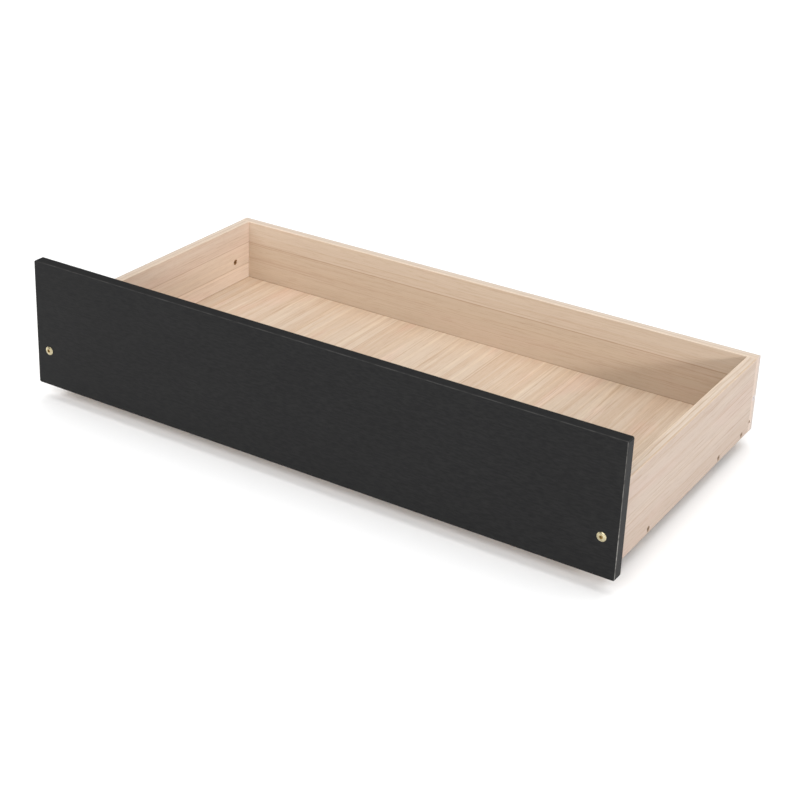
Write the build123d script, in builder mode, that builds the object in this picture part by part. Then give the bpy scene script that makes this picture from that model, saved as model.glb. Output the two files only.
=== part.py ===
from build123d import *
import math
import os

# Under-bed trundle drawer that rolls on four fixed casters. Millimetres, +Z up.
# The origin is on the floor, below the centre of the drawer. X runs along the front panel,
# -Y is the front, +Y the rear.

# Driving dimensions: boards
front_length = 1000.0
front_height = 206.0
front_thickness = 19.0
front_corner = 3.0         # radius of the four corners seen from the front
front_round = 1.5          # radius of the arrises round the front and back faces
box_width = 968.0          # across the outer faces of the two sides
box_depth = 504.0          # from the back of the front panel to the rear of the back panel
box_height = 125.0
board_thickness = 16.0
board_round = 0.8
bottom_thickness = 5.0
bottom_height = 15.0       # underside of the bottom panel above the boards' lower edges
groove_depth = 6.0
ground_clearance = 25.0    # the boards' lower edges above the floor
end_hole_height = 56.0     # small locating hole in each end of the back panel
end_hole_radius = 1.5
end_hole_depth = 3.0

# Driving dimensions: corner joints
bolt_height = 60.0         # above the boards' lower edges, as are all the heights below
bolt_radius = 3.0
bolt_hole_radius = 3.5
bolt_head_radius = 7.0
bolt_head_height = 2.2
bolt_rim_height = 0.5      # straight edge of the head, below its dome
bolt_length = 66.0
hex_key_flats = 4.0
hex_key_depth = 2.4
nut_distance = 39.0        # barrel nut's axis from the face that the side butts against
nut_radius = 5.0
nut_bore_radius = 3.05     # cross bore that the bolt screws into
nut_hole_radius = 5.1
nut_length = 12.0
nut_recess = 0.8           # the nut's end below the side's inner face
nut_hole_depth = 13.4
nut_slot_width = 2.0
nut_slot_depth = 1.4
dowel_radius = 4.0
dowel_hole_radius = 4.05
dowel_length = 30.0
dowel_in_panel = 10.0
dowel_heights = (34.0, 95.0)
dowel_chamfer = 0.8
dowel_end_gap = 1.0        # spare depth past a dowel's end
bolt_end_gap = 2.0         # spare depth past a bolt's end

# Driving dimensions: cross boards under the bottom panel
cross_board_width = 120.0
front_cross_y = 94.5       # centre line, from the front panel's front face
rear_cross_y = 434.5
board_screw_pitch = 90.0
board_screw_height = 7.0
board_screw_length = 40.0
board_screw_radius = 1.8
board_screw_hole_radius = 1.85
board_screw_head_radius = 4.4
board_screw_head_depth = 2.7
board_screw_tip_gap = 2.0  # spare depth past a screw's tip
screw_sink = 0.4           # the head's flat below the wood's surface
cross_span = 4.4           # across a cross recess, from the end of one arm to the other
cross_arm_width = 0.9
cross_depth = 1.5

# Driving dimensions: casters
caster_x = 459.0
plate_width = 18.0
plate_length = 66.0
plate_thickness = 2.0
plate_corner = 4.0
cheek_thickness = 1.8
cheek_top = 26.0           # cheek's length where it leaves the plate
cheek_end_radius = 5.4     # rounded end around the axle
wheel_radius = 10.0
wheel_width = 12.6
wheel_round = 1.6
wheel_dish_radius = 6.6
wheel_dish_depth = 1.0
wheel_hub_wall = 1.6       # hub left standing in the dish, round the bore
axle_radius = 2.5
axle_bore_radius = 2.55    # bore of the wheel, a running fit on the axle
rivet_head_radius = 4.0
rivet_head_height = 1.3
caster_screw_pitch = 48.0
caster_screw_radius = 1.75
caster_screw_hole_radius = 1.8
plate_hole_radius = 2.2
caster_screw_length = 12.0
caster_screw_head_radius = 3.4
caster_screw_head_height = 1.6
caster_cross_span = 4.0
caster_cross_depth = 1.2
caster_screw_tip_gap = 1.0

# Values worked out from the dimensions above
base_z = ground_clearance
front_y = -(front_thickness + box_depth) / 2
inner_front_y = front_y + front_thickness
rear_y = front_y + front_thickness + box_depth
inner_rear_y = rear_y - board_thickness
outer_side_x = box_width / 2
inner_side_x = outer_side_x - board_thickness
bolt_x = outer_side_x - board_thickness / 2
bolt_z = base_z + bolt_height
bottom_z = base_z + bottom_height
bottom_half_width = inner_side_x + groove_depth
cross_ys = (front_y + front_cross_y, front_y + rear_cross_y)
front_nut_y = inner_front_y + nut_distance
rear_nut_y = inner_rear_y - nut_distance
axle_z = wheel_radius
fork_half_width = plate_width / 2


def on_yz(x):
    """Plane facing +X at x, with Y across and Z up."""
    return Plane.YZ.offset(x)


def on_xz(y):
    """Plane facing -Y at y, with X across and Z up. Extruding by a negative amount goes rearwards."""
    return Plane.XZ.offset(-y)


def box_between(low, high, mode=Mode.ADD):
    """Add or cut the box between two corners in the open part."""
    size = [h - l for l, h in zip(low, high)]
    centre = [(h + l) / 2 for l, h in zip(low, high)]
    with Locations(tuple(centre)):
        Box(*size, mode=mode)


def drill_y(points, radius, start, end):
    """Cut round holes along Y, from start to end, at (x, z) points."""
    with BuildSketch(on_xz(start)) as holes:
        with Locations(*points):
            Circle(radius)
    extrude(holes.sketch, amount=start - end, mode=Mode.SUBTRACT)


def drill_x(points, radius, start, end):
    """Cut round holes along X, from start to end, at (y, z) points."""
    with BuildSketch(on_yz(start)) as holes:
        with Locations(*points):
            Circle(radius)
    extrude(holes.sketch, amount=end - start, mode=Mode.SUBTRACT)


def finish(piece, label):
    """Name a finished piece and write it to its own file."""
    piece.part.label = label
    export_step(piece.part, "parts/" + label + ".step")


# ---------------------------------------------------------------- boards

def make_front_panel():
    """Black front panel: wider and taller than the box, grooved and drilled at the back."""
    dowel_points = [(s * bolt_x, base_z + h) for s in (-1, 1) for h in dowel_heights]
    with BuildPart() as front_panel:
        box_between((-front_length / 2, front_y, base_z),
                    (front_length / 2, inner_front_y, base_z + front_height))
        fillet(front_panel.edges().filter_by(Axis.Y), front_corner)
        faces = front_panel.faces().sort_by(Axis.Y)
        fillet(faces[0].edges() + faces[-1].edges(), front_round)
        box_between((-bottom_half_width, inner_front_y - groove_depth, bottom_z),
                    (bottom_half_width, inner_front_y, bottom_z + bottom_thickness), Mode.SUBTRACT)
        drill_y([(-bolt_x, bolt_z), (bolt_x, bolt_z)], bolt_hole_radius, front_y, inner_front_y)
        drill_y(dowel_points, dowel_hole_radius, inner_front_y - dowel_in_panel, inner_front_y)
    finish(front_panel, "front_panel")


def make_back_panel():
    """Back board: it covers the ends of the sides, and its groove runs out at both ends."""
    dowel_points = [(s * bolt_x, base_z + h) for s in (-1, 1) for h in dowel_heights]
    with BuildPart() as back_panel:
        box_between((-outer_side_x, inner_rear_y, base_z), (outer_side_x, rear_y, base_z + box_height))
        fillet(back_panel.edges().filter_by(Axis.X), board_round)
        box_between((-outer_side_x, inner_rear_y, bottom_z),
                    (outer_side_x, inner_rear_y + groove_depth, bottom_z + bottom_thickness), Mode.SUBTRACT)
        drill_y([(-bolt_x, bolt_z), (bolt_x, bolt_z)], bolt_hole_radius, inner_rear_y, rear_y)
        drill_y(dowel_points, dowel_hole_radius, inner_rear_y, inner_rear_y + dowel_in_panel)
        end_hole = [(rear_y - board_thickness / 2, base_z + end_hole_height)]
        for end in (-outer_side_x, outer_side_x):
            drill_x(end_hole, end_hole_radius, end, end - math.copysign(end_hole_depth, end))
    finish(back_panel, "back_panel")


def make_side(label, side):
    """Side board; side is -1 at the left and 1 at the right."""
    outer = side * outer_side_x
    inner = side * inner_side_x
    low_x, high_x = sorted((inner, outer))
    groove_low, groove_high = sorted((inner, side * bottom_half_width))
    dowel_reach = dowel_length - dowel_in_panel + dowel_end_gap
    bolt_reach = bolt_length - board_thickness + bolt_end_gap
    dowel_points = [(side * bolt_x, base_z + h) for h in dowel_heights]
    screw_points = board_screw_points()
    with BuildPart() as board:
        box_between((low_x, inner_front_y, base_z), (high_x, inner_rear_y, base_z + box_height))
        fillet(board.edges().filter_by(Axis.Y), board_round)
        box_between((groove_low, inner_front_y, bottom_z),
                    (groove_high, inner_rear_y, bottom_z + bottom_thickness), Mode.SUBTRACT)
        # bolt and dowel holes in both ends
        drill_y(dowel_points, dowel_hole_radius, inner_front_y, inner_front_y + dowel_reach)
        drill_y(dowel_points, dowel_hole_radius, inner_rear_y - dowel_reach, inner_rear_y)
        drill_y([(side * bolt_x, bolt_z)], bolt_hole_radius, inner_front_y, inner_front_y + bolt_reach)
        drill_y([(side * bolt_x, bolt_z)], bolt_hole_radius, inner_rear_y - bolt_reach, inner_rear_y)
        # barrel nut holes, open on the inner face
        drill_x([(front_nut_y, bolt_z), (rear_nut_y, bolt_z)], nut_hole_radius,
                inner, inner + side * nut_hole_depth)
        # countersunk screw holes to the cross boards
        drill_x(screw_points, board_screw_hole_radius, outer, inner)
        for y, z in screw_points:
            sink_cone(outer, side, y, z)
    finish(board, label)


def board_screw_points():
    """Where the cross boards' screws pass through a side: (y, z) in order from the front."""
    half = board_screw_pitch / 2
    return [(y + d, base_z + board_screw_height) for y in cross_ys for d in (-half, half)]


def sink_cone(outer, side, y, z):
    """Countersink in a side's outer face that holds a screw head just below the surface."""
    head_face = outer - side * screw_sink
    shank_face = head_face - side * board_screw_head_depth
    with BuildSketch(on_yz(head_face)) as mouth:
        with Locations((y, z)):
            Circle(board_screw_head_radius)
    with BuildSketch(on_yz(shank_face)) as throat:
        with Locations((y, z)):
            Circle(board_screw_radius)
    loft([mouth.sketch, throat.sketch], mode=Mode.SUBTRACT)
    drill_x([(y, z)], board_screw_head_radius, head_face, outer)


def make_bottom_panel():
    """Thin bottom, held in the grooves of all four boards."""
    with BuildPart() as bottom_panel:
        box_between((-bottom_half_width, inner_front_y - groove_depth, bottom_z),
                    (bottom_half_width, inner_rear_y + groove_depth, bottom_z + bottom_thickness))
    finish(bottom_panel, "bottom_panel")


def make_cross_board(label, centre_y):
    """Board under the bottom panel, between the sides, that carries two casters."""
    half = board_screw_pitch / 2
    points = [(centre_y - half, base_z + board_screw_height), (centre_y + half, base_z + board_screw_height)]
    reach = board_screw_length - board_thickness
    tips = [(s * caster_x, centre_y + d * caster_screw_pitch / 2) for s in (-1, 1) for d in (-1, 1)]
    with BuildPart() as board:
        box_between((-inner_side_x, centre_y - cross_board_width / 2, base_z),
                    (inner_side_x, centre_y + cross_board_width / 2, bottom_z))
        for side in (-1, 1):
            end = side * inner_side_x
            drill_x(points, board_screw_hole_radius, end, end - side * reach)
        with BuildSketch(Plane.XY.offset(base_z)):
            with Locations(*tips):
                Circle(caster_screw_hole_radius)
        extrude(amount=caster_screw_length - plate_thickness + caster_screw_tip_gap, mode=Mode.SUBTRACT)
    finish(board, label)


# ---------------------------------------------------------------- corner fittings

def make_bolts(label, head_face, inwards):
    """Pair of connector bolts with shallow domed heads and hexagon sockets.

    inwards is 1 for bolts that run rearwards from head_face, and -1 for those that run forwards.
    """
    points = [(-bolt_x, bolt_z), (bolt_x, bolt_z)]
    rim_y = -inwards * bolt_rim_height
    crown_y = -inwards * bolt_head_height
    with BuildPart() as bolts:
        for x in (-bolt_x, bolt_x):
            centre = (x, head_face, bolt_z)
            # half outline of the head, turned about the bolt's axis
            with BuildSketch(Plane(origin=centre)):
                with BuildLine():
                    Polyline((0, crown_y), (0, 0), (bolt_head_radius, 0), (bolt_head_radius, rim_y))
                    TangentArc((0, crown_y), (bolt_head_radius, rim_y), tangent=(1, 0))
                make_face()
            revolve(axis=Axis(centre, (0, 1, 0)))
        with BuildSketch(on_xz(head_face)):
            with Locations(*points):
                Circle(bolt_radius)
        extrude(amount=-inwards * bolt_length)
        with BuildSketch(on_xz(head_face + crown_y)):
            with Locations(*points):
                RegularPolygon(hex_key_flats / 2, 6, major_radius=False)
        extrude(amount=-inwards * hex_key_depth, mode=Mode.SUBTRACT)
    finish(bolts, label)


def make_barrel_nuts(label, nut_y):
    """Pair of barrel nuts, cross-bored for the bolts, with a screwdriver slot in the inner end."""
    with BuildPart() as nuts:
        for side in (-1, 1):
            inner_end = side * (inner_side_x + nut_recess)
            with BuildSketch(on_yz(inner_end)):
                with Locations((nut_y, bolt_z)):
                    Circle(nut_radius)
            extrude(amount=side * nut_length)
            with BuildSketch(on_yz(inner_end)):
                with Locations((nut_y, bolt_z)):
                    Rectangle(2 * nut_radius, nut_slot_width)
            extrude(amount=side * nut_slot_depth, mode=Mode.SUBTRACT)
            drill_y([(side * bolt_x, bolt_z)], nut_bore_radius, nut_y - nut_radius, nut_y + nut_radius)
    finish(nuts, label)


def make_dowels(label, start):
    """Four wooden dowels, two in each corner joint, from start towards the rear."""
    points = [(s * bolt_x, base_z + h) for s in (-1, 1) for h in dowel_heights]
    with BuildPart() as dowels:
        with BuildSketch(on_xz(start)):
            with Locations(*points):
                Circle(dowel_radius)
        extrude(amount=-dowel_length)
        rims = dowels.edges().filter_by(GeomType.CIRCLE)
        chamfer(rims, dowel_chamfer)
    finish(dowels, label)


def make_board_screws(label, side):
    """Four countersunk screws through one side into the ends of the cross boards."""
    head_face = side * (outer_side_x - screw_sink)
    neck_face = head_face - side * board_screw_head_depth
    tip = side * (outer_side_x - board_screw_length + board_screw_tip_gap)
    with BuildPart() as screws:
        for y, z in board_screw_points():
            with BuildSketch(on_yz(head_face)):
                with Locations((y, z)):
                    Circle(board_screw_head_radius)
            with BuildSketch(on_yz(neck_face)):
                with Locations((y, z)):
                    Circle(board_screw_radius)
            loft()
            with BuildSketch(on_yz(neck_face)):
                with Locations((y, z)):
                    Circle(board_screw_radius)
            extrude(amount=tip - neck_face)
            with BuildSketch(on_yz(head_face)):
                with Locations((y, z)):
                    Rectangle(cross_span, cross_arm_width)
                    Rectangle(cross_arm_width, cross_span)
            extrude(amount=-side * cross_depth, mode=Mode.SUBTRACT)
    finish(screws, label)


# ---------------------------------------------------------------- casters

def caster_centre(side, row):
    """Middle of a caster in plan; row 0 is the front one and 1 the rear one."""
    return side * caster_x, cross_ys[row]


def make_bracket(label, x, y):
    """Pressed steel bracket: a plate with a screw hole at each end, and two cheeks for the wheel."""
    plate_low = base_z - plate_thickness
    with BuildPart() as bracket:
        with BuildSketch(Plane.XY.offset(plate_low)):
            with Locations((x, y)):
                RectangleRounded(plate_width, plate_length, plate_corner)
            with Locations((x, y - caster_screw_pitch / 2), (x, y + caster_screw_pitch / 2)):
                Circle(plate_hole_radius, mode=Mode.SUBTRACT)
        extrude(amount=plate_thickness)
        for low_x in (x - fork_half_width, x + fork_half_width - cheek_thickness):
            with BuildSketch(on_yz(low_x)):
                with BuildLine():
                    cheek_outline(y, plate_low)
                make_face()
                with Locations((y, axle_z)):
                    Circle(cheek_end_radius)
                    Circle(axle_radius, mode=Mode.SUBTRACT)
            extrude(amount=cheek_thickness)
    finish(bracket, label)


def cheek_outline(y, top):
    """Tapered cheek from the plate down to the level of the axle."""
    Polyline((y - cheek_top / 2, top), (y + cheek_top / 2, top), (y + cheek_end_radius, axle_z),
             (y - cheek_end_radius, axle_z), close=True)


def make_wheel(label, x, y):
    """Moulded wheel with rounded tread edges and a shallow dish round the bore on each face."""
    half = wheel_width / 2
    with BuildPart() as wheel:
        with BuildSketch(on_yz(x - half)):
            with Locations((y, axle_z)):
                Circle(wheel_radius)
        extrude(amount=wheel_width)
        fillet(wheel.edges().filter_by(GeomType.CIRCLE), wheel_round)
        for face_x, into in ((x - half, wheel_dish_depth), (x + half, -wheel_dish_depth)):
            with BuildSketch(on_yz(face_x)):
                with Locations((y, axle_z)):
                    Circle(wheel_dish_radius)
                    Circle(axle_bore_radius + wheel_hub_wall, mode=Mode.SUBTRACT)
            extrude(amount=into, mode=Mode.SUBTRACT)
        drill_x([(y, axle_z)], axle_bore_radius, x - half, x + half)
    finish(wheel, label)


def make_axle(label, x, y):
    """Rivet that is the wheel's axle, headed on the outside of both cheeks."""
    with BuildPart() as axle:
        with BuildSketch(on_yz(x - fork_half_width)):
            with Locations((y, axle_z)):
                Circle(axle_radius)
        extrude(amount=2 * fork_half_width)
        for side in (-1, 1):
            with BuildSketch(on_yz(x + side * fork_half_width)):
                with Locations((y, axle_z)):
                    Circle(rivet_head_radius)
            extrude(amount=side * rivet_head_height)
        for index in (0, -1):
            outer_face = axle.faces().filter_by(Axis.X).group_by(Axis.X)[index]
            fillet(outer_face.edges(), rivet_head_height / 2)
    finish(axle, label)


def make_caster_screws(label, x, y):
    """Two pan-head screws that hold a bracket to its cross board."""
    head_top = base_z - plate_thickness
    points = [(x, y - caster_screw_pitch / 2), (x, y + caster_screw_pitch / 2)]
    with BuildPart() as screws:
        with BuildSketch(Plane.XY.offset(head_top)):
            with Locations(*points):
                Circle(caster_screw_head_radius)
        extrude(amount=-caster_screw_head_height)
        fillet(screws.faces().group_by(Axis.Z)[0].edges(), caster_screw_head_height / 2)
        with BuildSketch(Plane.XY.offset(head_top)):
            with Locations(*points):
                Circle(caster_screw_radius)
        extrude(amount=caster_screw_length)
        with BuildSketch(Plane.XY.offset(head_top - caster_screw_head_height)):
            with Locations(*points):
                Rectangle(caster_cross_span, cross_arm_width)
                Rectangle(cross_arm_width, caster_cross_span)
        extrude(amount=caster_cross_depth, mode=Mode.SUBTRACT)
    finish(screws, label)


# ---------------------------------------------------------------- the whole drawer

os.makedirs("parts", exist_ok=True)

make_front_panel()
make_back_panel()
make_side("left_side", -1)
make_side("right_side", 1)
make_bottom_panel()
make_cross_board("front_cross_board", cross_ys[0])
make_cross_board("rear_cross_board", cross_ys[1])

make_bolts("front_bolts", front_y, 1)
make_bolts("rear_bolts", rear_y, -1)
make_barrel_nuts("front_barrel_nuts", front_nut_y)
make_barrel_nuts("rear_barrel_nuts", rear_nut_y)
make_dowels("front_dowels", inner_front_y - dowel_in_panel)
make_dowels("rear_dowels", inner_rear_y - dowel_length + dowel_in_panel)
make_board_screws("left_board_screws", -1)
make_board_screws("right_board_screws", 1)

for row, row_name in enumerate(("front", "rear")):
    for side, side_name in ((-1, "left"), (1, "right")):
        x, y = caster_centre(side, row)
        place = row_name + "_" + side_name
        make_bracket(place + "_caster_bracket", x, y)
        make_wheel(place + "_wheel", x, y)
        make_axle(place + "_axle", x, y)
        make_caster_screws(place + "_caster_screws", x, y)
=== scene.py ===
import math

import bpy
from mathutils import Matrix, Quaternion, Vector


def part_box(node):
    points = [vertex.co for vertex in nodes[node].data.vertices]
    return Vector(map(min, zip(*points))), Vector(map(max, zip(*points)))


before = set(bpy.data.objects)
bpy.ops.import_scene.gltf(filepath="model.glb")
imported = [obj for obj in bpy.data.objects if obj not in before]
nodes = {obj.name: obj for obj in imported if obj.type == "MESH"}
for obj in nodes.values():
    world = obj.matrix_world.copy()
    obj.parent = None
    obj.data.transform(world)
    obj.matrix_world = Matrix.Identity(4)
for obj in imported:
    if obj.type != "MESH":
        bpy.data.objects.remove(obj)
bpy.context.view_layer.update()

MM = 0.001

# ---------------------------------------------------------------- places, from the frame

floor_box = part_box("bottom_panel")
back_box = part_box("back_panel")
left_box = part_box("left_side")
right_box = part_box("right_side")
front_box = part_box("front_panel")
bolts_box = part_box("front_bolts")

inner_x = right_box[0].x
inner_back_y = back_box[0].y
floor_top = floor_box[1].z
boards_low = back_box[0].z
rim_z = back_box[1].z
board_depth = left_box[1].x - left_box[0].x

# Heights of the seams between glued strips, and of the locating holes in the back panel's ends
seam_z = boards_low + 87 * MM
side_seam_z = boards_low + 48 * MM
strips_top_z = rim_z - 1.2 * MM
locating_hole_z = boards_low + 56 * MM

bolt_z = (bolts_box[0].z + bolts_box[1].z) / 2
bolt_x = bolts_box[1].x - (bolts_box[1].z - bolt_z)


# ---------------------------------------------------------------- colours

def srgb(red, green, blue):
    """Linear colour of an ordinary 0 to 255 screen colour."""
    def channel(value):
        value /= 255
        return value / 12.92 if value <= 0.04045 else ((value + 0.055) / 1.055) ** 2.4
    return (channel(red), channel(green), channel(blue), 1.0)


# LEFT_BASE, RIGHT_BASE and TOP_BASE colour one oak-look foil, set face by face to how each face is lit, so
# their differences are painted light: the left board's inner face lighter against the shade inside the
# drawer, the right board's outer face darker under its stronger light, and the top edges lighter than the
# right and back faces.
LEFT_BASE = srgb(207, 190, 174)
RIGHT_BASE = srgb(184, 168, 155)
BACK_BASE = srgb(187, 167, 146)
FLOOR_BASE = srgb(197, 179, 160)
RAW_BASE = srgb(208, 182, 150)
BEECH_BASE = srgb(212, 174, 134)
TOP_BASE = srgb(200, 186, 172)
END_PINK = (srgb(190, 171, 158), srgb(202, 185, 172))
END_GREY = (srgb(179, 166, 158), srgb(191, 179, 171))
END_RING_GREY = srgb(190, 184, 187)

PAINT_DARK = srgb(21, 21, 22)
PAINT_LIGHT = srgb(30, 30, 30)
# Pale grey of the painted highlights along the front panel's arrises
PAINT_ARRIS_HIGHLIGHT = srgb(134, 132, 128)

# Tints, which multiply the colour under them
SEAM_TINT = (0.77, 0.70, 0.64, 1.0)
GAP_TINT = (0.72, 0.66, 0.60, 1.0)
# GREY_ARRIS_SHADE is painted shade on the outer arris of the left and back boards' top edges.
GREY_ARRIS_SHADE = (0.84, 0.84, 0.83, 1.0)
TAN_ARRIS = (0.90, 0.82, 0.73, 1.0)
CREAM_ARRIS_HIGHLIGHT = (1.10, 1.07, 1.00, 1.0)
EDGE_LINE_TINT = (0.86, 0.79, 0.70, 1.0)
# SOCKET_SHADE_TINT darkens the bolts' hex sockets: painted shade.
SOCKET_SHADE_TINT = (0.62, 0.52, 0.38, 1.0)


# ---------------------------------------------------------------- shader building

class Shader:
    """One material's node tree, with short calls for the nodes that the materials here share."""

    def __init__(self, name):
        self.material = bpy.data.materials.new(name)
        self.material.use_nodes = True
        self.tree = self.material.node_tree
        self.tree.nodes.clear()
        output = self.node("ShaderNodeOutputMaterial")
        self.bsdf = self.node("ShaderNodeBsdfPrincipled")
        self.tree.links.new(self.bsdf.outputs["BSDF"], output.inputs["Surface"])
        self.point = self.node("ShaderNodeTexCoord").outputs["Object"]
        parts = self.node("ShaderNodeSeparateXYZ")
        self.put(parts.inputs[0], self.point)
        self.x, self.y, self.z = parts.outputs

    def node(self, kind, **settings):
        made = self.tree.nodes.new(kind)
        for key, value in settings.items():
            setattr(made, key, value)
        return made

    def put(self, socket, value):
        """Link an output to a socket, or set the socket to a constant."""
        if isinstance(value, bpy.types.NodeSocket):
            self.tree.links.new(value, socket)
        else:
            socket.default_value = value

    def surface(self, **values):
        """Set the principled shader's inputs, such as base_color or roughness."""
        for key, value in values.items():
            self.put(self.bsdf.inputs[key.replace("_", " ").title()], value)

    def math(self, operation, a, b=0.0):
        made = self.node("ShaderNodeMath", operation=operation)
        self.put(made.inputs[0], a)
        self.put(made.inputs[1], b)
        return made.outputs[0]

    def add(self, a, b):
        return self.math("ADD", a, b)

    def times(self, a, b):
        return self.math("MULTIPLY", a, b)

    def vector(self, operation, a, b):
        made = self.node("ShaderNodeVectorMath", operation=operation)
        self.put(made.inputs[0], a)
        self.put(made.inputs[1], b)
        return made.outputs[0]

    def stretched(self, scales, shift=(0.0, 0.0, 0.0), point=None):
        """The point, moved by shift and then scaled along each axis."""
        moved = self.vector("ADD", self.point if point is None else point, shift)
        return self.vector("MULTIPLY", moved, scales)

    def noise(self, point, detail=2.0, roughness=0.5):
        made = self.node("ShaderNodeTexNoise", noise_dimensions="3D")
        self.put(made.inputs["Vector"], point)
        self.put(made.inputs["Scale"], 1.0)
        self.put(made.inputs["Detail"], detail)
        self.put(made.inputs["Roughness"], roughness)
        return made.outputs["Fac"]

    def step(self, value, low, high, out_low=0.0, out_high=1.0):
        """Smooth step from out_low to out_high as value goes from low to high."""
        made = self.node("ShaderNodeMapRange", interpolation_type="SMOOTHSTEP", clamp=True)
        for name, number in (("Value", value), ("From Min", low), ("From Max", high),
                             ("To Min", out_low), ("To Max", out_high)):
            self.put(made.inputs[name], number)
        return made.outputs["Result"]

    def mix(self, factor, a, b):
        """Colour a where factor is 0, and colour b where it is 1."""
        made = self.node("ShaderNodeMix", data_type="RGBA")
        self.put(made.inputs[0], factor)
        self.put(made.inputs[6], a)
        self.put(made.inputs[7], b)
        return made.outputs[2]

    def shade(self, colour, amount):
        """The colour multiplied by a number."""
        made = self.node("ShaderNodeVectorMath", operation="SCALE")
        self.put(made.inputs[0], colour)
        self.put(made.inputs["Scale"], amount)
        return made.outputs[0]

    def glaze(self, colour, factor, tint):
        """The colour multiplied by a tint where factor is 1, and left as it is where factor is 0."""
        made = self.node("ShaderNodeMix", data_type="RGBA", blend_type="MULTIPLY")
        self.put(made.inputs[0], factor)
        self.put(made.inputs[6], colour)
        self.put(made.inputs[7], tint)
        return made.outputs[2]

    def band(self, value, centre, half_width):
        """1 on a line at centre, falling to 0 at half_width on either side."""
        away = self.math("ABSOLUTE", self.math("SUBTRACT", value, centre))
        return self.step(away, 0.0, half_width, 1.0, 0.0)

    def depth_inside(self, box):
        """Distances inwards from the nearest face of a box along X, Y and Z."""
        depths = []
        for value, low, high in zip((self.x, self.y, self.z), *box):
            away = self.math("ABSOLUTE", self.math("SUBTRACT", value, (low + high) / 2))
            depths.append(self.math("SUBTRACT", (high - low) / 2, away))
        return depths

    def arris(self, box, inner, outer):
        """1 along the twelve edges of a box, falling to 0 between inner and outer metres from them."""
        x, y, z = self.depth_inside(box)
        smaller = self.math("MINIMUM", x, y)
        larger = self.math("MAXIMUM", x, y)
        second = self.math("MAXIMUM", smaller, self.math("MINIMUM", larger, z))
        return self.step(second, inner, outer, 1.0, 0.0)

    def bump(self, height, distance, strength=1.0):
        made = self.node("ShaderNodeBump")
        self.put(made.inputs["Height"], height)
        self.put(made.inputs["Distance"], distance)
        self.put(made.inputs["Strength"], strength)
        self.put(self.bsdf.inputs["Normal"], made.outputs["Normal"])


# ---------------------------------------------------------------- wood

def grain_scales(along, lengthwise, crosswise):
    """Noise scales per metre: lengthwise on the axis that the grain follows, crosswise on the others."""
    scales = [crosswise] * 3
    scales[along] = lengthwise
    return tuple(scales)


def wandering_point(shader, along, shift, reach=14 * MM):
    """The point, pushed sideways by up to half of reach, so that long grain lines wander."""
    push = shader.noise(shader.stretched(grain_scales(along, 2.0, 6.0), shift), detail=1.0)
    push = shader.times(shader.math("SUBTRACT", push, 0.5), reach)
    sideways = shader.node("ShaderNodeCombineXYZ")
    for axis in range(3):
        if axis != along:
            shader.put(sideways.inputs[axis], push)
    return shader.vector("ADD", shader.point, sideways.outputs[0])


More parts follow.
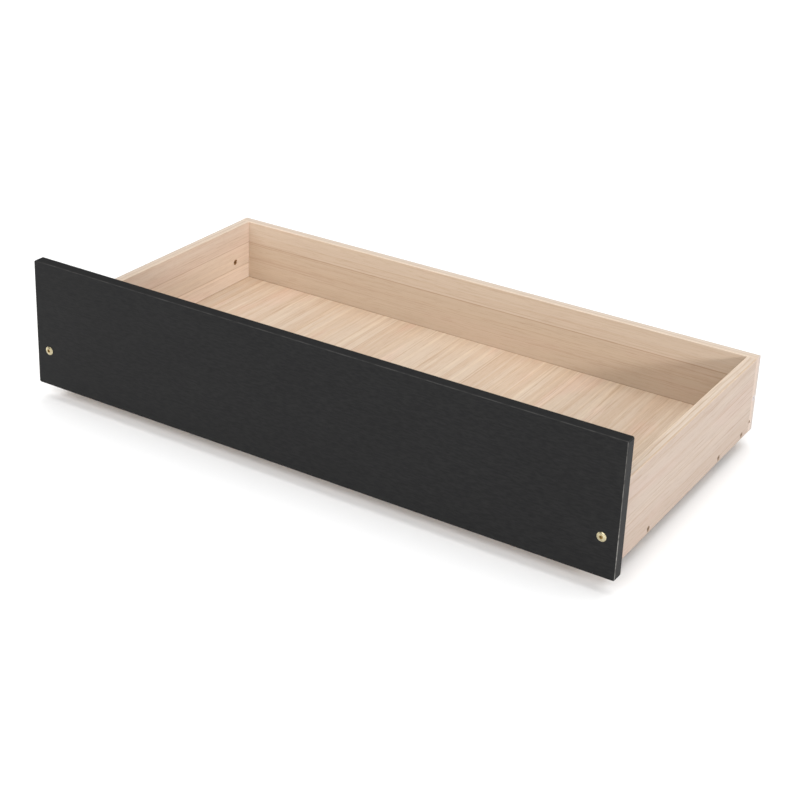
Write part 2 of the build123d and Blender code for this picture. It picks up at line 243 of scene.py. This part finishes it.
def wood(name, along, base, shift, flecks=1.0, streaks=1.0, fine=1.0, seams=(), strips=(), gaps=(),
         painted_light_fade=None, rim=None, end_x=None):
    """Light oak-look board of one base colour.

    along is the axis that the grain follows. flecks scales the fibres and pores, streaks the long
    streaks, and fine the narrow ones among them. seams are the heights of the lines between glued strips,
    and strips are (low, high, tint) for strips of another tone, which on the left board are lighter
    still, most at the bottom, as painted light against the shade near the floor. gaps are (axis, place)
    lines of shadow where this board meets another. fade is (place of the full tint, place where it
    ends, tint) along Y: painted light, a paler band where the back panel shades the floor.
    rim is (axis, inner place, direction outwards, tint of the outer arris) for a board whose top edge
    shows, and end_x is a place beyond which end grain shows.
    """
    shader = Shader(name)
    point = wandering_point(shader, along, shift)
    axes = (shader.x, shader.y, shader.z)

    def grain(lengthwise, crosswise, detail=2.0, roughness=0.5, move=0.0):
        moved = tuple(value + move for value in shift)
        return shader.noise(shader.stretched(grain_scales(along, lengthwise, crosswise), moved, point),
                            detail, roughness)

    def tint(strength, red, green, blue):
        """A tint that strength 1 gives in full and strength 0 leaves white."""
        return tuple(1 - (1 - value) * strength for value in (red, green, blue)) + (1.0,)

    broad = grain(0.30, 62.0, detail=2.0, roughness=0.7)
    cream = grain(0.45, 105.0, detail=2.0, roughness=0.6, move=4.6)
    rings = grain(0.8, 210.0, detail=3.0, roughness=0.65)
    lines = grain(1.0, 430.0, detail=1.5, move=0.7)
    crowd = grain(0.5, 42.0, detail=1.0, move=6.1)
    fibre = grain(26.0, 560.0, detail=3.0, roughness=0.7, move=1.3)
    pores = grain(42.0, 1900.0, detail=1.0, move=2.1)
    blush = grain(5.0, 26.0, detail=2.0, move=5.2)

    colour = shader.glaze(base, shader.step(broad, 0.46, 0.54), tint(streaks, 0.925, 0.875, 0.835))
    colour = shader.glaze(colour, shader.step(cream, 0.54, 0.60), tint(streaks, 1.075, 1.09, 1.08))
    colour = shader.glaze(colour, shader.step(rings, 0.50, 0.60), tint(streaks * fine, 0.955, 0.92, 0.89))
    dark_lines = shader.times(shader.step(lines, 0.57, 0.63), shader.step(crowd, 0.42, 0.56, 0.25, 1.0))
    colour = shader.glaze(colour, dark_lines, tint(streaks * fine, 0.74, 0.645, 0.57))
    colour = shader.glaze(colour, shader.step(blush, 0.52, 0.66), tint(streaks, 1.03, 0.975, 0.99))
    colour = shader.glaze(colour, shader.step(fibre, 0.51, 0.61), tint(flecks, 0.91, 0.88, 0.855))
    colour = shader.glaze(colour, shader.step(pores, 0.66, 0.76), tint(flecks, 0.86, 0.80, 0.76))

    soft = 0.5 * MM
    for low, high, strip_tint in strips:
        above = shader.step(shader.z, low - soft, low + soft)
        below = shader.step(shader.z, high - soft, high + soft, 1.0, 0.0)
        colour = shader.glaze(colour, shader.times(above, below), strip_tint)
    for height in seams:
        colour = shader.glaze(colour, shader.band(shader.z, height, 1.3 * MM), SEAM_TINT)
    # Painted light: paler towards one place along Y, to offset the shade that falls there.
    if painted_light_fade is not None:
        full, none, painted_light_tint = painted_light_fade
        colour = shader.glaze(colour, shader.step(shader.y, none, full), painted_light_tint)
    for axis, place in gaps:
        line = shader.times(shader.band(axes[axis], place, 1.4 * MM), inside_cavity(shader))
        colour = shader.glaze(colour, line, GAP_TINT)
    if rim is not None:
        # The top edge takes TOP_BASE, lighter than the right and back faces: painted light on the upward
        # faces.
        top_tint = tuple(top / value for top, value in zip(TOP_BASE, base))
        colour = top_edge(shader, colour, top_tint, grain(14.0, 14.0, detail=2.0, move=8.3), *rim)
    if end_x is not None:
        colour = end_grain(shader, colour, end_x, shift)

    shader.surface(base_color=colour, roughness=shader.step(fibre, 0.2, 0.8, 0.50, 0.62))
    shader.bsdf.inputs["Specular IOR Level"].default_value = 0.25
    ridges = shader.add(shader.times(rings, 0.5), shader.times(fibre, 0.35))
    relief = shader.math("SUBTRACT", ridges, shader.step(pores, 0.64, 0.78, 0.0, 0.6))
    shader.bump(relief, 0.08 * MM, 0.5)
    return shader


def end_grain(shader, colour, end_x, shift):
    """Pale end of the board, pinker at the joint, with a bluish-grey ring round the locating hole."""
    speckle = shader.noise(shader.stretched((900.0, 420.0, 900.0), shift), detail=3.0)
    pink_end = shader.mix(shader.step(speckle, 0.3, 0.7), *END_PINK)
    grey_end = shader.mix(shader.step(speckle, 0.3, 0.7), *END_GREY)
    rearwards = shader.step(shader.y, back_box[0].y + 5 * MM, back_box[1].y - 3 * MM)
    end_colour = shader.mix(rearwards, pink_end, grey_end)
    hole = (0.0, (back_box[0].y + back_box[1].y) / 2, locating_hole_z)
    offset = shader.vector("SUBTRACT", shader.vector("MULTIPLY", shader.point, (0.0, 1.0, 1.0)), hole)
    length = shader.node("ShaderNodeVectorMath", operation="LENGTH")
    shader.put(length.inputs[0], offset)
    ring = shader.step(length.outputs["Value"], 3 * MM, 6 * MM, 1.0, 0.0)
    end_colour = shader.mix(ring, end_colour, END_RING_GREY)
    beyond = shader.step(shader.math("ABSOLUTE", shader.x), end_x - 0.3 * MM, end_x)
    return shader.mix(beyond, colour, end_colour)


def inside_cavity(shader):
    """1 on the surfaces that face into the drawer, and 0 on the boards' outer faces."""
    reach = 0.5 * MM
    across = shader.step(shader.math("ABSOLUTE", shader.x), inner_x + reach, inner_x + 2 * reach, 1.0, 0.0)
    behind = shader.step(shader.y, inner_back_y + reach, inner_back_y + 2 * reach, 1.0, 0.0)
    return shader.times(across, behind)


def top_edge(shader, colour, top_tint, waver, axis, inner_place, outwards, outer_tint):
    """The board's top edge: a cream painted highlight along the inner arris, a wavering line in the middle
    and a darker outer arris, painted shade where the grey tint is given.
    """
    across = (shader.x, shader.y, shader.z)[axis]
    depth = shader.times(shader.math("SUBTRACT", across, inner_place), outwards)
    on_top = shader.step(shader.z, rim_z - 1.6 * MM, rim_z - 0.7 * MM)
    colour = shader.glaze(colour, on_top, top_tint)
    # Painted highlight: a cream line along the inner arris.
    cream = shader.times(on_top, shader.band(depth, 1.4 * MM, 2.2 * MM))
    colour = shader.glaze(colour, cream, CREAM_ARRIS_HIGHLIGHT)
    line_place = shader.add(0.45 * board_depth, shader.times(shader.math("SUBTRACT", waver, 0.5), 5 * MM))
    line = shader.times(on_top, shader.band(depth, line_place, 1.8 * MM))
    colour = shader.glaze(colour, line, EDGE_LINE_TINT)
    # The outer arris is tinted darker: painted shade where the grey tint is given.
    outer = shader.times(on_top, shader.step(depth, board_depth - 3.4 * MM, board_depth - 1.6 * MM))
    return shader.glaze(colour, outer, outer_tint)


# The left board's strips are all lighter than its base, most of all below side_seam_z: painted light
# against the shade inside the drawer and near the floor.
left_wood = wood("oak_left", 1, LEFT_BASE, (3.1, 0.4, 7.7), flecks=0.75, streaks=0.45,
                 seams=(seam_z, side_seam_z), gaps=((2, floor_top),), rim=(0, -inner_x, -1.0, GREY_ARRIS_SHADE),
                 strips=((boards_low, side_seam_z, (1.19, 1.20, 1.21, 1.0)),
                         (side_seam_z, seam_z, (1.07, 1.06, 1.04, 1.0)),
                         (seam_z, strips_top_z, (1.06, 1.05, 1.055, 1.0))))
right_wood = wood("oak_right", 1, RIGHT_BASE, (11.3, 2.9, 1.2), flecks=0.65, streaks=0.45,
                  gaps=((2, floor_top),), rim=(0, inner_x, 1.0, TAN_ARRIS))
back_wood = wood("oak_back", 0, BACK_BASE, (5.9, 8.1, 4.4), flecks=0.75, streaks=0.30,
                 seams=(seam_z,), gaps=((2, floor_top),), rim=(1, inner_back_y, 1.0, GREY_ARRIS_SHADE),
                 strips=((seam_z, strips_top_z, (1.10, 1.14, 1.19, 1.0)),),
                 end_x=back_box[1].x - 0.4 * MM)
# The floor is painted paler within 90 mm of the back panel: painted light against the shade that the back
# panel casts there.
floor_wood = wood("oak_floor", 1, FLOOR_BASE, (1.7, 6.3, 9.9), flecks=0.7, streaks=0.85, fine=0.6,
                  gaps=((0, inner_x), (0, -inner_x), (1, inner_back_y)),
                  painted_light_fade=(inner_back_y, inner_back_y - 90 * MM, (1.16, 1.15, 1.13, 1.0)))
raw_wood = wood("raw_board", 0, RAW_BASE, (8.8, 3.3, 2.2), flecks=1.2, streaks=1.2)
beech = wood("beech", 1, BEECH_BASE, (0.6, 0.9, 0.3), flecks=0.8, streaks=0.8)


# ---------------------------------------------------------------- paint, metal and plastic

def black_paint():
    """Black satin paint over board, with a short faint grain along X and thin pale painted highlights on
    the arrises.
    """
    shader = Shader("black_paint")
    strokes = shader.noise(shader.stretched((90.0, 420.0, 420.0)), detail=3.0, roughness=0.6)
    grain = shader.noise(shader.stretched((45.0, 130.0, 130.0), (4.0, 2.0, 1.0)), detail=4.0, roughness=0.6)
    clouds = shader.noise(shader.stretched((6.0, 9.0, 14.0), (1.0, 7.0, 3.0)), detail=3.0)
    breakup_noise = shader.noise(shader.stretched((38.0, 38.0, 60.0), (2.0, 2.0, 2.0)), detail=4.0, roughness=0.7)

    colour = shader.mix(shader.step(strokes, 0.3, 0.7), PAINT_DARK, PAINT_LIGHT)
    colour = shader.shade(colour, shader.step(grain, 0.35, 0.65, 0.95, 1.05))
    colour = shader.shade(colour, shader.step(clouds, 0.3, 0.7, 0.96, 1.04))
    # Painted highlight: pale broken lines along the front panel's arrises, strongest near the ends and
    # lower down.
    arris = shader.arris(front_box, 0.5 * MM, 1.3 * MM)
    end_x = front_box[1].x
    near_end = shader.step(shader.math("ABSOLUTE", shader.x), end_x - 3 * MM, end_x - 1 * MM, 0.35, 1.0)
    lower_down = shader.step(shader.z, front_box[0].z + 90 * MM, front_box[1].z - 50 * MM, 1.0, 0.45)
    highlight_breakup = shader.times(shader.step(breakup_noise, 0.38, 0.62, 0.30, 0.9), lower_down)
    arris_highlight = shader.times(shader.times(arris, near_end), highlight_breakup)
    colour = shader.mix(arris_highlight, colour, PAINT_ARRIS_HIGHLIGHT)

    shader.surface(base_color=colour, roughness=shader.step(strokes, 0.2, 0.8, 0.48, 0.58))
    shader.bsdf.inputs["Specular IOR Level"].default_value = 0.12
    relief = shader.add(shader.times(strokes, 0.5), shader.times(grain, 0.8))
    shader.bump(relief, 0.08 * MM, 0.5)
    return shader


def metal(name, bright, dull, roughness, sockets=None):
    """Plated metal with fine tarnish and rubbing marks.

    sockets is (x, z, inner radius, outer radius) for bolts along Y at both x and -x, darker brown inside as
    painted shade in the hex sockets.
    """
    shader = Shader(name)
    tarnish = shader.noise(shader.stretched((900.0, 900.0, 900.0)), detail=4.0, roughness=0.65)
    blotch = shader.noise(shader.stretched((180.0, 180.0, 180.0), (3.0, 1.0, 2.0)), detail=2.0)
    colour = shader.mix(shader.step(tarnish, 0.35, 0.7), bright, dull)
    colour = shader.shade(colour, shader.step(blotch, 0.3, 0.7, 0.9, 1.06))
    if sockets is not None:
        # Painted shade: darker brown round each bolt's axis, where its hex socket is.
        x, z, inner, outer = sockets
        across = shader.math("SUBTRACT", shader.math("ABSOLUTE", shader.x), x)
        up = shader.math("SUBTRACT", shader.z, z)
        away = shader.math("SQRT", shader.add(shader.times(across, across), shader.times(up, up)))
        colour = shader.glaze(colour, shader.step(away, inner, outer, 1.0, 0.0), SOCKET_SHADE_TINT)
    dulled = shader.step(tarnish, 0.2, 0.8, roughness - 0.06, roughness + 0.1)
    shader.surface(base_color=colour, roughness=dulled)
    shader.bsdf.inputs["Metallic"].default_value = 1.0
    shader.bump(tarnish, 0.03 * MM, 0.35)
    return shader


def black_coat(name, low, high, roughness, scale, depth):
    """Black powder coat or moulded plastic, with a fine orange-peel surface."""
    shader = Shader(name)
    peel = shader.noise(shader.stretched((scale, scale, scale)), detail=3.0, roughness=0.55)
    dust = shader.noise(shader.stretched((70.0, 70.0, 70.0), (5.0, 5.0, 5.0)), detail=4.0, roughness=0.6)
    colour = shader.mix(shader.step(dust, 0.35, 0.75), low, high)
    dulled = shader.step(dust, 0.2, 0.8, roughness - 0.05, roughness + 0.12)
    shader.surface(base_color=colour, roughness=dulled)
    shader.bsdf.inputs["Specular IOR Level"].default_value = 0.4
    shader.bump(peel, depth, 0.6)
    return shader


paint = black_paint()
brass = metal("antique_brass", srgb(208, 200, 168), srgb(158, 142, 106), 0.22,
              sockets=(bolt_x, bolt_z, 2.4 * MM, 3.6 * MM))
nut_bronze = metal("nut_bronze", srgb(190, 160, 122), srgb(130, 98, 66), 0.36)
screw_bronze = metal("screw_bronze", srgb(166, 142, 116), srgb(120, 98, 76), 0.42)
zinc = metal("zinc", srgb(196, 194, 188), srgb(150, 148, 142), 0.36)
powder = black_coat("black_powder_coat", srgb(24, 24, 25), srgb(38, 38, 38), 0.42, 1500.0, 0.05 * MM)
plastic = black_coat("black_plastic", srgb(28, 28, 29), srgb(46, 45, 44), 0.5, 2600.0, 0.03 * MM)

FINISHES = {
    "front_panel": paint,
    "back_panel": back_wood,
    "left_side": left_wood,
    "right_side": right_wood,
    "bottom_panel": floor_wood,
    "front_cross_board": raw_wood,
    "rear_cross_board": raw_wood,
    "front_bolts": brass,
    "rear_bolts": brass,
    "front_barrel_nuts": nut_bronze,
    "rear_barrel_nuts": nut_bronze,
    "front_dowels": beech,
    "rear_dowels": beech,
    "left_board_screws": screw_bronze,
    "right_board_screws": screw_bronze,
}
CASTER_FINISHES = {"_caster_bracket": powder, "_wheel": plastic, "_axle": zinc, "_caster_screws": zinc}
for place in ("front_left", "front_right", "rear_left", "rear_right"):
    for part, finish in CASTER_FINISHES.items():
        FINISHES[place + part] = finish

for name, shader in FINISHES.items():
    node = nodes[name]
    node.data.materials.clear()
    node.data.materials.append(shader.material)


# ---------------------------------------------------------------- studio

def make_floor(half=30.0):
    """Large pale floor that the casters stand on, half metres from its middle to each side."""
    mesh = bpy.data.meshes.new("studio_floor")
    corners = [(-half, -half, 0), (half, -half, 0), (half, half, 0), (-half, half, 0)]
    mesh.from_pydata(corners, [], [(0, 1, 2, 3)])
    floor = bpy.data.objects.new("studio_floor", mesh)
    bpy.context.scene.collection.objects.link(floor)
    shader = Shader("studio_paint")
    mottle = shader.noise(shader.stretched((3.0, 3.0, 3.0)), detail=2.0)
    pale = shader.mix(mottle, (0.93, 0.93, 0.93, 1.0), (0.95, 0.95, 0.95, 1.0))
    shader.surface(base_color=pale, roughness=0.9)
    shader.bsdf.inputs["Specular IOR Level"].default_value = 0.1
    mesh.materials.append(shader.material)


def soft_light(name, azimuth, elevation, spread, strength):
    """Broad distant light, spread degrees wide; azimuth 0 is in front of the drawer and 90 at its right."""
    turn, lift = math.radians(azimuth), math.radians(elevation)
    towards = Vector((math.sin(turn) * math.cos(lift), -math.cos(turn) * math.cos(lift), math.sin(lift)))
    lamp = bpy.data.lights.new(name, "SUN")
    lamp.angle = math.radians(spread)
    lamp.energy = strength
    holder = bpy.data.objects.new(name, lamp)
    holder.rotation_mode = "QUATERNION"
    holder.rotation_quaternion = towards.to_track_quat("Z", "Y")
    bpy.context.scene.collection.objects.link(holder)


def make_world(colour, strength):
    world = bpy.data.worlds.new("studio_air")
    world.use_nodes = True
    background = world.node_tree.nodes["Background"]
    background.inputs["Color"].default_value = colour
    background.inputs["Strength"].default_value = strength
    bpy.context.scene.world = world


def make_camera(azimuth, elevation, roll, look_at, distance, lens, shift_y):
    """Camera in metres and degrees, with a focal length in millimetres, and the scene's own camera."""
    turn, lift = math.radians(azimuth), math.radians(elevation)
    back = Vector((math.sin(turn) * math.cos(lift), -math.cos(turn) * math.cos(lift), math.sin(lift)))
    camera = bpy.data.objects.new("camera", bpy.data.cameras.new("camera"))
    camera.data.lens = lens
    camera.data.shift_y = shift_y
    camera.location = look_at + back * distance
    camera.rotation_mode = "QUATERNION"
    level = (-back).to_track_quat("-Z", "Y")
    camera.rotation_quaternion = level @ Quaternion((0, 0, 1), math.radians(roll))
    bpy.context.scene.collection.objects.link(camera)
    bpy.context.scene.camera = camera


make_floor()
make_world((1.0, 1.0, 1.0, 1.0), 0.20)
soft_light("key_light", azimuth=48.0, elevation=15.0, spread=6.0, strength=0.68)
soft_light("side_light", azimuth=70.0, elevation=20.0, spread=9.0, strength=1.26)
soft_light("front_light", azimuth=0.0, elevation=30.0, spread=50.0, strength=2.0)
soft_light("left_light", azimuth=-60.0, elevation=35.0, spread=50.0, strength=0.34)
soft_light("back_light", azimuth=180.0, elevation=76.0, spread=70.0, strength=2.2)
make_camera(azimuth=31.07, elevation=23.30, roll=2.42, look_at=Vector((-0.0999, 0.1645, 0.1155)),
            distance=2.8244, lens=77.46, shift_y=-0.12)
bpy.context.scene.view_settings.view_transform = "Standard"
